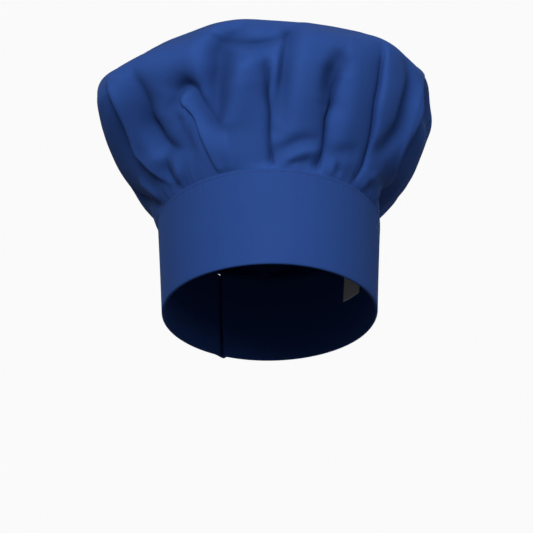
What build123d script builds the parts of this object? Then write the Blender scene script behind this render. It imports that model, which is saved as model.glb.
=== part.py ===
from build123d import *

import math
import os

# Floppy chef toque: a stiffened, adjustable headband with a gathered one-piece crown.
#
# Millimetres, +Z up, origin at the centre of the band's bottom rim.
# -Y is the front of the hat, +Y the back, where the band closes with a hook-and-loop tab.

os.makedirs("parts", exist_ok=True)

# ---------------------------------------------------------------- dimensions
BAND_H = 74.0                # height of the headband
A_BOT, B_BOT = 82.5, 98.2    # half width and half depth of the band at its rim
A_TOP, B_TOP = 86.5, 102.9   # the band opens slightly towards the crown
PLY = 0.7                    # one ply of pressed twill
STIFF = 0.6                  # sew-in stiffener
AIR = 0.05                   # between two plies sewn together
ALLOWANCE = 10.0             # crown seam allowance, caught between the band's plies

VENT_X = 46.0                # half width of the crown's free edge, above the closure
VENT_GAP = 0.6               # the free edge clears the band by this at its ends
VENT_RISE = 3.5              # and arches up by this in the middle
BINDING_H = 7.0              # height of the binding on the free edge
BINDING_T = 0.6

JOG_X0, JOG_X1 = -47.0, -34.0    # the band's left end steps outwards over the underlap here
UNDERLAP_X = -26.0           # the band's right end reaches this far, beneath the tab
FOLD_X = -32.0               # the tab's root, a little past the left end of the band
TIP_X = 44.0                 # the tab's free end
TAB_Z0, TAB_Z1 = 5.0, 70.0   # a little narrower than the band
TAB_R = 7.0                  # corner radius at the tab's tip

HOOK_T, LOOP_T = 1.2, 1.2    # thickness of the hook tape and the loop tape
TAPE_GAP = 0.3               # between the two tapes
TAPE_X0, TAPE_X1 = -20.0, 38.0
TAPE_H = 20.0
TAPE_Z_LOWER, TAPE_Z_UPPER = 20.0, 55.0

THREAD = 0.35                # sewing thread
TOP_STITCH_Z = BAND_H - 2.4
EDGE = 3.0                   # distance of the tab's stitching from its edge

LABEL_ANGLE, LABEL_HALF = 126.0, 7.0     # care label, degrees round from the front
LABEL_Z0, LABEL_Z1 = 38.0, 70.0
LABEL_T = 0.5

CROWN_PLY = 0.7
# the gathered cloth's envelope at rest: height, half width, half depth
CROWN = [
    (BAND_H, 85.8, 102.2),
    (85.0, 94.0, 108.5),
    (100.0, 103.5, 116.5),
    (116.0, 113.0, 125.0),
    (132.0, 121.5, 132.5),
    (148.0, 128.0, 138.5),
    (163.0, 131.5, 141.5),
    (176.0, 130.0, 140.0),
    (188.0, 122.0, 132.0),
    (198.0, 107.0, 118.0),
    (206.0, 84.0, 95.0),
    (212.0, 55.0, 64.0),
    (215.0, 25.0, 30.0),
]

# ---------------------------------------------------------------- derived sizes
TAB_IN = HOOK_T + TAPE_GAP + LOOP_T          # tab's inner face, above the band's outer face
TAB_MID = TAB_IN + PLY + AIR                 # its stiffener
TAB_OUT = TAB_MID + STIFF + AIR              # its outer ply
TAB_FACE = TAB_OUT + PLY                     # its outer face
STIFF_OUT = -PLY - AIR                       # the band's stiffener, from its outer face
LINING_OUT = STIFF_OUT - STIFF - AIR         # the band's lining
LINING_IN = LINING_OUT - PLY
A_MID = (A_BOT + A_TOP) / 2


def back_angle(x):
    """Angle from the front at which the back of the band has that x, the short way round."""
    t = math.asin(x / A_MID)
    return math.pi - t if x >= 0 else -math.pi - t


def past_back(x):
    """The same angle, always counted round from the right side."""
    return math.pi - math.asin(x / A_MID)


T_LEFT = back_angle(JOG_X1)          # the band runs from here, round the front,
T_RIGHT = past_back(UNDERLAP_X)      # to here
T_JOG = back_angle(JOG_X0)
T_VENT = back_angle(VENT_X) - 0.02


def jog(t):
    """How far the band's left end is stepped out over the underlap at an angle."""
    s = min(1.0, max(0.0, (T_JOG - t) / (T_JOG - T_LEFT)))
    return TAB_IN * s * s * (3 - 2 * s)


def outline(z, r, t0, t1, n, stepped=False):
    """Points round the band at a height, r outside its outer face, between two angles."""
    s = z / BAND_H
    a, b = A_BOT + (A_TOP - A_BOT) * s, B_BOT + (B_TOP - B_BOT) * s
    points = []
    for i in range(n + 1):
        t = t0 + (t1 - t0) * i / n
        d = r + (jog(t) if stepped else 0.0)
        nx, ny = math.sin(t) / a, -math.cos(t) / b
        m = math.hypot(nx, ny)
        points.append((a * math.sin(t) + d * nx / m, -b * math.cos(t) + d * ny / m))
    return points


def ply_lines(z, r_in, r_out, t0, t1, n=96, stepped=False, smooth=True):
    """The closed outline of one curved ply at a height, drawn into the open BuildLine."""
    p = outline(z, r_out, t0, t1, n, stepped)
    q = outline(z, r_in, t0, t1, n, stepped)[::-1]
    if smooth:
        Spline(*p)
        Line(p[-1], q[0])
        Spline(*q)
        Line(q[-1], p[0])
    else:
        Polyline(*p, *q, p[0])


def tab_lines(inset, r):
    """The tab's outline seen from behind: square at its root, rounded at its tip."""
    x0, x1, z0, z1 = FOLD_X, TIP_X - inset, TAB_Z0 + inset, TAB_Z1 - inset
    if inset:
        x0 += inset + 1.0
    Polyline((x1 - r, z1), (x0, z1), (x0, z0), (x1 - r, z0))
    ThreePointArc((x1 - r, z0), (x1 - r + r * 0.70710678, z0 + r - r * 0.70710678), (x1, z0 + r))
    Line((x1, z0 + r), (x1, z1 - r))
    ThreePointArc((x1, z1 - r), (x1 - r + r * 0.70710678, z1 - r + r * 0.70710678), (x1 - r, z1))


def arch(dz, x):
    """The vent's arched edge, raised by dz, as the points of a spline from -x to x."""
    z = BAND_H + VENT_GAP + dz
    return [(-x, z), (-x / 2, z + 0.75 * VENT_RISE), (0, z + VENT_RISE),
            (x / 2, z + 0.75 * VENT_RISE), (x, z)]


BAND_LEVELS = (0.0, BAND_H)
T_TIP, T_FOLD = past_back(TIP_X + 3.0), past_back(FOLD_X - 3.0)

# ---------------------------------------------------------------- headband
with BuildPart() as band_outer:
    for z in BAND_LEVELS:
        with BuildSketch(Plane.XY.offset(z)):
            with BuildLine():
                ply_lines(z, -PLY, 0.0, T_LEFT, T_RIGHT, stepped=True)
            make_face()
    loft(ruled=True)
band_outer.part.label = "band_outer"
export_step(band_outer.part, "parts/band_outer.step")

with BuildPart() as band_stiffener:
    for z in (1.0, BAND_H - ALLOWANCE - 0.5):
        with BuildSketch(Plane.XY.offset(z)):
            with BuildLine():
                ply_lines(z, STIFF_OUT - STIFF, STIFF_OUT, T_LEFT + 0.01, T_RIGHT - 0.01, 160,
                          stepped=True, smooth=False)
            make_face()
    loft(ruled=True)
band_stiffener.part.label = "band_stiffener"
export_step(band_stiffener.part, "parts/band_stiffener.step")

with BuildPart() as band_lining:
    for z in BAND_LEVELS:
        with BuildSketch(Plane.XY.offset(z)):
            with BuildLine():
                ply_lines(z, LINING_IN, LINING_OUT, T_LEFT, T_RIGHT, stepped=True)
            make_face()
    loft(ruled=True)
band_lining.part.label = "band_lining"
export_step(band_lining.part, "parts/band_lining.step")

# ---------------------------------------------------------------- crown
with BuildPart() as crown_panel:
    # the gathered circle, as a thin shell
    for z, a, b in CROWN:
        with BuildSketch(Plane.XY.offset(z)):
            Ellipse(a, b)
    loft()
    for i, (z, a, b) in enumerate(CROWN):
        with BuildSketch(Plane.XY.offset(z - CROWN_PLY * i / (len(CROWN) - 1))):
            Ellipse(a - CROWN_PLY, b - CROWN_PLY)
    loft(mode=Mode.SUBTRACT)
    # its free edge over the closure
    with BuildSketch(Plane.XZ):
        with BuildLine():
            Spline(*arch(0.0, VENT_X))
            Polyline((VENT_X, BAND_H + VENT_GAP), (VENT_X, BAND_H - 2), (-VENT_X, BAND_H - 2),
                     (-VENT_X, BAND_H + VENT_GAP))
        make_face()
    extrude(amount=-160, mode=Mode.SUBTRACT)
    # its seam allowance, hanging down between the band's plies
    for z in (BAND_H - ALLOWANCE, BAND_H):
        with BuildSketch(Plane.XY.offset(z)):
            with BuildLine():
                ply_lines(z, STIFF_OUT - STIFF, STIFF_OUT, -T_VENT, T_VENT)
            make_face()
    loft(ruled=True)
crown_panel.part.label = "crown_panel"
export_step(crown_panel.part, "parts/crown_panel.step")

with BuildPart() as crown_vent_binding:
    for z, a, b in CROWN:
        with BuildSketch(Plane.XY.offset(z)):
            Ellipse(a + AIR + BINDING_T, b + AIR + BINDING_T)
    loft()
    for z, a, b in CROWN:
        with BuildSketch(Plane.XY.offset(z)):
            Ellipse(a + AIR, b + AIR)
    loft(mode=Mode.SUBTRACT)
    with BuildSketch(Plane.XZ):
        with BuildLine():
            Spline(*arch(0.3, VENT_X - 1))
            Line((VENT_X - 1, BAND_H + VENT_GAP + 0.3), (VENT_X - 1, BAND_H + VENT_GAP + 0.3 + BINDING_H))
            Spline(*arch(0.3 + BINDING_H, VENT_X - 1))
            Line((-VENT_X + 1, BAND_H + VENT_GAP + 0.3 + BINDING_H), (-VENT_X + 1, BAND_H + VENT_GAP + 0.3))
        make_face()
    extrude(amount=-160, mode=Mode.INTERSECT)
crown_vent_binding.part.label = "crown_vent_binding"
export_step(crown_vent_binding.part, "parts/crown_vent_binding.step")

# ---------------------------------------------------------------- closure tab
with BuildPart() as tab_outer:
    for z in BAND_LEVELS:
        with BuildSketch(Plane.XY.offset(z)):
            with BuildLine():
                ply_lines(z, TAB_OUT, TAB_FACE, T_TIP, T_FOLD, 24)
            make_face()
    loft(ruled=True)
    with BuildSketch(Plane.XZ):
        with BuildLine():
            tab_lines(0.0, TAB_R)
        make_face()
    extrude(amount=-160, mode=Mode.INTERSECT)
tab_outer.part.label = "tab_outer"
export_step(tab_outer.part, "parts/tab_outer.step")

with BuildPart() as tab_stiffener:
    for z in BAND_LEVELS:
        with BuildSketch(Plane.XY.offset(z)):
            with BuildLine():
                ply_lines(z, TAB_MID, TAB_MID + STIFF, T_TIP, T_FOLD, 24)
            make_face()
    loft(ruled=True)
    with BuildSketch(Plane.XZ):
        with BuildLine():
            tab_lines(1.5, TAB_R - 1.5)
        make_face()
    extrude(amount=-160, mode=Mode.INTERSECT)
tab_stiffener.part.label = "tab_stiffener"
export_step(tab_stiffener.part, "parts/tab_stiffener.step")

with BuildPart() as tab_lining:
    for z in BAND_LEVELS:
        with BuildSketch(Plane.XY.offset(z)):
            with BuildLine():
                ply_lines(z, TAB_IN, TAB_IN + PLY, T_TIP, T_FOLD, 24)
            make_face()
    loft(ruled=True)
    with BuildSketch(Plane.XZ):
        with BuildLine():
            tab_lines(0.0, TAB_R)
        make_face()
    extrude(amount=-160, mode=Mode.INTERSECT)
tab_lining.part.label = "tab_lining"
export_step(tab_lining.part, "parts/tab_lining.step")

# ---------------------------------------------------------------- hook and loop tapes
TAPE_MID, TAPE_W = (TAPE_X0 + TAPE_X1) / 2, TAPE_X1 - TAPE_X0

with BuildPart() as hook_strip_lower:
    for z in BAND_LEVELS:
        with BuildSketch(Plane.XY.offset(z)):
            with BuildLine():
                ply_lines(z, AIR, HOOK_T, T_TIP, T_FOLD, 24)
            make_face()
    loft(ruled=True)
    with BuildSketch(Plane.XZ):
        with Locations((TAPE_MID, TAPE_Z_LOWER)):
            RectangleRounded(TAPE_W, TAPE_H, 1.5)
    extrude(amount=-160, mode=Mode.INTERSECT)
hook_strip_lower.part.label = "hook_strip_lower"
export_step(hook_strip_lower.part, "parts/hook_strip_lower.step")

with BuildPart() as hook_strip_upper:
    for z in BAND_LEVELS:
        with BuildSketch(Plane.XY.offset(z)):
            with BuildLine():
                ply_lines(z, AIR, HOOK_T, T_TIP, T_FOLD, 24)
            make_face()
    loft(ruled=True)
    with BuildSketch(Plane.XZ):
        with Locations((TAPE_MID, TAPE_Z_UPPER)):
            RectangleRounded(TAPE_W, TAPE_H, 1.5)
    extrude(amount=-160, mode=Mode.INTERSECT)
hook_strip_upper.part.label = "hook_strip_upper"
export_step(hook_strip_upper.part, "parts/hook_strip_upper.step")

with BuildPart() as loop_strip_lower:
    for z in BAND_LEVELS:
        with BuildSketch(Plane.XY.offset(z)):
            with BuildLine():
                ply_lines(z, HOOK_T + TAPE_GAP, TAB_IN - AIR, T_TIP, T_FOLD, 24)
            make_face()
    loft(ruled=True)
    with BuildSketch(Plane.XZ):
        with Locations((TAPE_MID, TAPE_Z_LOWER)):
            RectangleRounded(TAPE_W, TAPE_H, 1.5)
    extrude(amount=-160, mode=Mode.INTERSECT)
loop_strip_lower.part.label = "loop_strip_lower"
export_step(loop_strip_lower.part, "parts/loop_strip_lower.step")

with BuildPart() as loop_strip_upper:
    for z in BAND_LEVELS:
        with BuildSketch(Plane.XY.offset(z)):
            with BuildLine():
                ply_lines(z, HOOK_T + TAPE_GAP, TAB_IN - AIR, T_TIP, T_FOLD, 24)
            make_face()
    loft(ruled=True)
    with BuildSketch(Plane.XZ):
        with Locations((TAPE_MID, TAPE_Z_UPPER)):
            RectangleRounded(TAPE_W, TAPE_H, 1.5)
    extrude(amount=-160, mode=Mode.INTERSECT)
loop_strip_upper.part.label = "loop_strip_upper"
export_step(loop_strip_upper.part, "parts/loop_strip_upper.step")

# ---------------------------------------------------------------- sewing thread
with BuildPart() as top_stitching:
    for z in (TOP_STITCH_Z - THREAD / 2, TOP_STITCH_Z + THREAD / 2):
        with BuildSketch(Plane.XY.offset(z)):
            with BuildLine():
                ply_lines(z, AIR, AIR + THREAD, -T_VENT, T_VENT)
            make_face()
    loft(ruled=True)
top_stitching.part.label = "top_stitching"
export_step(top_stitching.part, "parts/top_stitching.step")

with BuildPart() as tab_stitching:
    for z in BAND_LEVELS:
        with BuildSketch(Plane.XY.offset(z)):
            with BuildLine():
                ply_lines(z, TAB_FACE + AIR, TAB_FACE + AIR + THREAD, T_TIP, T_FOLD, 24)
            make_face()
    loft(ruled=True)
    with BuildSketch(Plane.XZ):
        with BuildLine():
            tab_lines(EDGE, TAB_R - EDGE)
        make_face()
        with BuildLine():
            tab_lines(EDGE + THREAD, TAB_R - EDGE - THREAD)
        make_face(mode=Mode.SUBTRACT)
    extrude(amount=-160, mode=Mode.INTERSECT)
tab_stitching.part.label = "tab_stitching"
export_step(tab_stitching.part, "parts/tab_stitching.step")

with BuildPart() as vent_stitching:
    for z, a, b in CROWN:
        with BuildSketch(Plane.XY.offset(z)):
            Ellipse(a + 2 * AIR + BINDING_T + THREAD, b + 2 * AIR + BINDING_T + THREAD)
    loft()
    for z, a, b in CROWN:
        with BuildSketch(Plane.XY.offset(z)):
            Ellipse(a + 2 * AIR + BINDING_T, b + 2 * AIR + BINDING_T)
    loft(mode=Mode.SUBTRACT)
    with BuildSketch(Plane.XZ):
        with BuildLine():
            low, high = arch(BINDING_H - 1.0, VENT_X - 2), arch(BINDING_H - 1.0 + THREAD, VENT_X - 2)
            Spline(*low)
            Line(low[-1], high[-1])
            Spline(*high)
            Line(high[0], low[0])
        make_face()
    extrude(amount=-160, mode=Mode.INTERSECT)
vent_stitching.part.label = "vent_stitching"
export_step(vent_stitching.part, "parts/vent_stitching.step")

# ---------------------------------------------------------------- care label
with BuildPart() as care_label:
    for z in (LABEL_Z0, LABEL_Z1):
        with BuildSketch(Plane.XY.offset(z)):
            with BuildLine():
                ply_lines(z, LINING_IN - AIR - LABEL_T, LINING_IN - AIR,
                          math.radians(LABEL_ANGLE - LABEL_HALF),
                          math.radians(LABEL_ANGLE + LABEL_HALF), 8)
            make_face()
    loft(ruled=True)
care_label.part.label = "care_label"
export_step(care_label.part, "parts/care_label.step")
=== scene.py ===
import math

import bpy
import numpy as np
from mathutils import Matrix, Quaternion, Vector


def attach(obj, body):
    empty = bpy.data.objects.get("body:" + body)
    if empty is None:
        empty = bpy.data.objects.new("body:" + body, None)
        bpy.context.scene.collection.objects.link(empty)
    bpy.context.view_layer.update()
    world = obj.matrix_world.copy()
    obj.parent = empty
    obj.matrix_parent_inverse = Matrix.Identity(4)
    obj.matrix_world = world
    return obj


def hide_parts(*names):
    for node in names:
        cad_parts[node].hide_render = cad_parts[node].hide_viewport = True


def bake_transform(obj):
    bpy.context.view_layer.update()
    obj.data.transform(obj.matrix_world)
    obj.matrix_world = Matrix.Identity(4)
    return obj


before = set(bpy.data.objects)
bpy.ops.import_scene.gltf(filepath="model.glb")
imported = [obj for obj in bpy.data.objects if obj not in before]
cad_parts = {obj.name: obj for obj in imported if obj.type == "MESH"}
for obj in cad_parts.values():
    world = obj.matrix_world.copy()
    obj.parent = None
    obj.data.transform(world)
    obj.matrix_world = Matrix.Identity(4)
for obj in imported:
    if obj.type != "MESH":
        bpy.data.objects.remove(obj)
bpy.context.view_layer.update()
MM = 0.001

# ================================================================== the design's numbers, in mm
BAND_H = 74.0
A_BOT, B_BOT = 82.5, 98.2
A_TOP, B_TOP = 86.5, 102.9
PLY, STIFF, AIR = 0.7, 0.6, 0.05
JOG_X0, JOG_X1 = -47.0, -34.0
UNDERLAP_X, FOLD_X, TIP_X = -39.6, -32.0, 44.0
TAB_Z0, TAB_Z1, TAB_R = 5.0, 70.0, 7.0
HOOK_T, TAPE_GAP, LOOP_T = 1.2, 0.3, 1.2
TAPE_X0, TAPE_X1, TAPE_H = -20.0, 38.0, 20.0
TAPE_Z = {"lower": 20.0, "upper": 55.0}
TAB_IN = HOOK_T + TAPE_GAP + LOOP_T
TAB_FACE = TAB_IN + 2 * PLY + STIFF + 2 * AIR
VENT_X, VENT_GAP, VENT_RISE = 46.0, 0.8, 0.2
BINDING_H = 7.0
STITCH_Z = BAND_H - 2.4
STACK = 2 * PLY + STIFF + 2 * AIR
A_MID = (A_BOT + A_TOP) / 2
SEAM_X = -38.0               # the tab is sewn to the band's left end here
# crown envelope: height, half width, half depth
CROWN = np.array([
    (74.0, 85.8, 102.2), (85.0, 94.0, 108.5), (100.0, 103.5, 116.5), (116.0, 113.0, 125.0),
    (132.0, 121.5, 132.5), (148.0, 128.0, 138.5), (163.0, 131.5, 141.5), (176.0, 130.0, 140.0),
    (188.0, 122.0, 132.0), (198.0, 107.0, 118.0), (206.0, 84.0, 95.0), (212.0, 55.0, 64.0),
    (215.0, 25.0, 30.0), (215.6, 0.001, 0.001)])
ARC = np.concatenate([[0], np.cumsum(np.hypot(np.diff((CROWN[:, 1] + CROWN[:, 2]) / 2), np.diff(CROWN[:, 0])))])
CROWN_L = float(ARC[-1])

# ================================================================== small tools


def smooth01(x):
    x = np.clip(x, 0.0, 1.0)
    return x * x * (3 - 2 * x)


def hermite(x, X, Y):
    m = np.gradient(Y, X)
    i = np.clip(np.searchsorted(X, x) - 1, 0, len(X) - 2)
    h = X[i + 1] - X[i]
    t = (x - X[i]) / h
    return ((2 * t**3 - 3 * t**2 + 1) * Y[i] + (t**3 - 2 * t**2 + t) * h * m[i]
            + (-2 * t**3 + 3 * t**2) * Y[i + 1] + (t**3 - t**2) * h * m[i + 1])


def waves(t, terms):
    """A sum of sines: count, size, phase."""
    return sum(a * np.sin(n * t + p) for n, a, p in terms)


def unit(v):
    return v / np.maximum(np.linalg.norm(v, axis=-1, keepdims=True), 1e-12)


def wrap(t):
    return (t + np.pi) % (2 * np.pi) - np.pi


def new_mesh(name, verts, faces, uv=None, smooth=True, depth=None):
    """An object from points in mm. uv gives each vertex's place on the flat cloth, in mm."""
    me = bpy.data.meshes.new(name)
    me.from_pydata((np.asarray(verts) * MM).tolist(), [], [tuple(int(i) for i in f) for f in faces])
    if uv is not None:
        layer = me.uv_layers.new(name="UVMap")
        idx = np.zeros(len(me.loops), np.int32)
        me.loops.foreach_get("vertex_index", idx)
        layer.data.foreach_set("uv", (np.asarray(uv)[idx] * 0.01).astype(np.float32).ravel())
    # depth carries painted shade for each point, read by the cloth material; without it every point gets the same value
    at = me.attributes.new("painted_fold_shade", "FLOAT", "POINT")
    at.data.foreach_set("value", np.zeros(len(me.vertices), np.float32) if depth is None else depth.astype(np.float32))
    if smooth:
        me.shade_smooth()
    me.update()
    ob = bpy.data.objects.new(name, me)
    bpy.context.scene.collection.objects.link(ob)
    return ob


def grid_faces(m, n, at=0, closed_rows=False, closed_cols=False, flip=False):
    """Quads over m rows of n points. Rows go up and columns go round, and the faces look out."""
    f = []
    for i in range(m if closed_rows else m - 1):
        a, b = at + i * n, at + ((i + 1) % m) * n
        for c in range(n if closed_cols else n - 1):
            d = (c + 1) % n
            q = (a + c, a + d, b + d, b + c)
            f.append(q[::-1] if flip else q)
    return f


def strands(name, paths, radius, sides=6, flat=0.75):
    """Sewing thread: each stitch is a short fat strand from p to q, arched over the cloth along n.
    paths holds (p, q, n) in mm."""
    V, F = [], []
    prof = [(0.0, 0.35, -0.55), (0.1, 0.85, -0.05), (0.3, 1.0, 0.30), (0.5, 1.0, 0.40), (0.7, 1.0, 0.30), (0.9, 0.85, -0.05),
            (1.0, 0.35, -0.55)]
    for p, q, n in paths:
        p, q, n = (np.asarray(v, float) for v in (p, q, n))
        d = q - p
        side = unit(np.cross(n, d))
        at = len(V)
        for f, w, lift in prof:
            c = p + d * f + n * (lift * radius)
            for k in range(sides):
                a = 2 * math.pi * k / sides
                V.append(c + side * (math.cos(a) * radius * w) + n * (math.sin(a) * radius * w * flat))
        m = len(prof)
        for i in range(m - 1):
            for k in range(sides):
                e = (k + 1) % sides
                F.append((at + i * sides + k, at + i * sides + e, at + (i + 1) * sides + e, at + (i + 1) * sides + k))
        F.append(tuple(at + k for k in range(sides))[::-1])
        F.append(tuple(at + (m - 1) * sides + k for k in range(sides)))
    return new_mesh(name, np.array(V), F)


# ================================================================== the band's curve
def back_angle(x):
    t = math.asin(x / A_MID)
    return math.pi - t if x >= 0 else -math.pi - t


def past_back(x):
    return math.pi - math.asin(x / A_MID)


T_LEFT, T_RIGHT = back_angle(JOG_X1), past_back(UNDERLAP_X)
T_JOG, T_SEAM = back_angle(JOG_X0), back_angle(SEAM_X)
T_VENT = back_angle(VENT_X) - 0.02
T_TIP = past_back(TIP_X) - 2 * math.pi


def jog(t):
    """How far the band's left end is stepped out over the underlap."""
    s = np.clip((T_JOG - t) / (T_JOG - T_LEFT), 0, 1)
    return TAB_FACE * s * s * (3 - 2 * s)


def on_band(t, z, r):
    """Points r outside the band's outer face."""
    s = z / BAND_H
    a, b = A_BOT + (A_TOP - A_BOT) * s, B_BOT + (B_TOP - B_BOT) * s
    nx, ny = np.sin(t) / a, -np.cos(t) / b
    m = np.hypot(nx, ny)
    return np.stack(np.broadcast_arrays(a * np.sin(t) + r * nx / m, -b * np.cos(t) + r * ny / m, z), -1)


def band_normal(t):
    n = np.stack([np.sin(t) / (A_MID), -np.cos(t) / 100.5, 0 * t], -1)
    return unit(n)


_g = np.linspace(-4.4, 4.4, 4401)
_p = on_band(_g, np.full_like(_g, BAND_H / 2), 0.0)
_d = np.concatenate([[0], np.cumsum(np.linalg.norm(np.diff(_p, axis=0), axis=1))])
_d -= np.interp(0.0, _g, _d)


def arc_of(t):
    """Length along the band from the front to an angle."""
    return np.interp(t, _g, _d)


def angle_at(u):
    return np.interp(u, _d, _g)


# ------------------------------------------------------------------ how the band's face lies
_rng = np.random.default_rng(11)
PUCKERS = []
_u = -arc_of(T_RIGHT) - 20
while _u < arc_of(T_RIGHT) + 20:
    PUCKERS.append((_u, _rng.uniform(0.10, 0.30), _rng.uniform(1.1, 2.2), _rng.uniform(5, 13), _rng.uniform(-0.18, 0.18)))
    _u += _rng.uniform(3.5, 9.5)
PUCKERS = np.array(PUCKERS)


def band_face(t, z):
    """Small unevenness of the band's outer face: pulled in at the seam, gathered puckers, soft swells."""
    u = arc_of(t)
    out = np.zeros(np.broadcast(u, z).shape)
    out = out + 0.22 * np.sin(u / 37.0 + 0.4) * np.sin(z / 31.0 + u / 90.0) + 0.12 * np.sin(u / 15.0 + z / 24.0)
    # the row of stitches pulls the cloth in, with a soft roll above it
    out = out - 0.14 * np.exp(-((z - STITCH_Z) / 0.8)**2) + 0.05 * np.exp(-((z - STITCH_Z + 2.2) / 1.3)**2)
    for pu, size, wide, tall, lean in PUCKERS:
        near = np.abs(u - pu) < 3.2 * wide + 12
        if not near.any():
            continue
        zz = (z + 0 * u)[near]
        d = u[near] - pu - lean * (STITCH_Z - zz)
        out[near] -= size * np.exp(-(d / wide)**2) * np.exp(-np.clip(STITCH_Z - zz, 0, None) / tall)
    return out


LEVELS = np.concatenate([np.linspace(0, 0.84, 20), np.linspace(0.84, 1.0, 15)[1:]])


def folded_strip(name, ts, low, high, r0, face, back=None, edge=0.45, fold=1.05):
    """A length of band or tab, a strip folded round its bottom edge, with its two ends closed.
    low, high and r0 hold its edges and its offset at each angle; face and back move the two faces."""
    ts = np.asarray(ts, float)
    back = back or (lambda t, z: 0.0 * z)
    rows = []

    def row(z, r):
        rows.append((z + 0 * ts, r + 0 * ts))

    outer = [low + fold + (high - edge - low - fold) * k for k in LEVELS]
    for z in outer:
        row(z, r0 + face(ts, z))
    top = face(ts, high)
    row(high - 0.12, r0 + top - 0.16)
    row(high, r0 + top - PLY / 2)
    row(high - 0.12, r0 - PLY + 0.1)
    for f in (0.985, 0.6, 0.25):
        row(low + fold + (high - low - fold) * f, r0 - PLY)
    row(low + fold * 0.95, r0 - PLY - 0.02)
    row(low + PLY, r0 - STACK / 2)
    row(low + fold * 0.95, r0 - STACK + PLY + 0.02)
    for f in (0.25, 0.6, 0.985):
        row(low + fold + (high - low - fold) * f, r0 - STACK + PLY)
    row(high - 0.12, r0 - STACK + PLY - 0.1)
    row(high, r0 - STACK + PLY / 2)
    row(high - 0.12, r0 - STACK + 0.16)
    for z in outer[::-1]:
        row(z, r0 - STACK + back(ts, z))
    rim = face(ts, low + fold)
    for a in np.linspace(0, math.pi, 9)[1:-1]:
        row(low + fold - fold * math.sin(a), r0 - STACK / 2 - STACK / 2 * math.cos(a) + rim * (a / math.pi))
    m, n = len(rows), len(ts)
    P = np.array([on_band(ts, z, r) for z, r in rows])
    UV = np.array([np.stack([arc_of(ts), z], -1) for z, r in rows])
    faces = grid_faces(m, n, closed_rows=True)
    # the ends: across each ply, then the fold at the rim
    k = len(LEVELS)
    for c, flip in ((0, False), (n - 1, True)):
        ring = [i * n + c for i in range(m)]
        faces.append(tuple(ring[::-1] if flip else ring))
    return new_mesh(name, P.reshape(-1, 3), faces, UV.reshape(-1, 2))


# ================================================================== the crown's shape
def crown_base(t, s):
    z = hermite(s, ARC, CROWN[:, 0])
    a = hermite(s, ARC, CROWN[:, 1])
    b = hermite(s, ARC, CROWN[:, 2])
    return np.stack([a * np.sin(t), -b * np.cos(t), z], -1)


# slow swells of the crown, in mm outwards: every 15 degrees from -180, at nine heights up the cloth
SWELL_AT = np.array([15, 35, 55, 75, 95, 115, 135, 155, 180.0])
SWELL = np.array([
    [0, 0, 0, 0, 0, 0, 0, 0, 0],
    [0, 0, 0, 0, 0, 0, 0, 0, 0],
    [0, 0, 0, 0, 0, 0, 0, 0, 0],
    [-0.2, -0.5, 0, 0, 0, 0, 0, 0, 0],
    [-2.2, -2.1, -0.7, 1.7, 0, 0.2, 0, 0, 0],
    [-4.0, 2.7, -6.0, -2.0, -0.4, 0, 0, 0, 0],
    [-2.5, -2.1, 2.6, -2.5, -6.3, -4.5, 0, 0.2, 0],
    [-0.2, 0.7, 0.9, 6.1, -1.7, 10.8, 2.0, 5.7, 0.2],
    [0, 0, 0, 5.2, 12.9, -6.6, -3.0, 3.6, 0.6],
    [0, 0, 0, 0.9, 6.7, -2.5, -0.5, -2.1, -0.7],
    [0, 0, 0, 0.1, 1.1, -4.6, -5.0, -0.5, 0.5],
    [0, 0, 0, 0, 0, 0.9, -2.1, 0, 1.3],
    [0, 0, 0, 0, -0.5, -5.0, -0.8, -7.9, 5.8],
    [0, 0, 0, 0, 0, -2.6, -3.1, -1.6, -0.7],
    [0, 0, 0, 0, 1.1, -2.8, -4.8, 0.5, -3.5],
    [0, 0, 0, 0, -1.9, 3.5, 0, 0.5, -2.8],
    [-0.2, 0, 0, 2.6, 4.8, -0.9, -4.8, 7.4, 0.3],
    [-5.7, -0.5, -0.6, 4.7, -12.4, 4.9, 4.7, -1.2, 0],
    [-14.3, 0.3, -0.6, -2.6, 4.1, -2.2, -6.5, -0.2, 0],
    [-3.9, 0, -1.3, 1.1, -9.3, 11.5, 1.9, 0, 0],
    [-4.1, -2.6, 0.9, 1.2, -2.4, -0.7, 0, 0, 0],
    [-0.9, -0.4, 1.7, 0.2, 0, 0, 0, 0, 0],
    [0, 0, 0, 0, 0, 0, 0, 0, 0],
    [0, 0, 0, 0, 0, 0, 0, 0, 0]])

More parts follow.
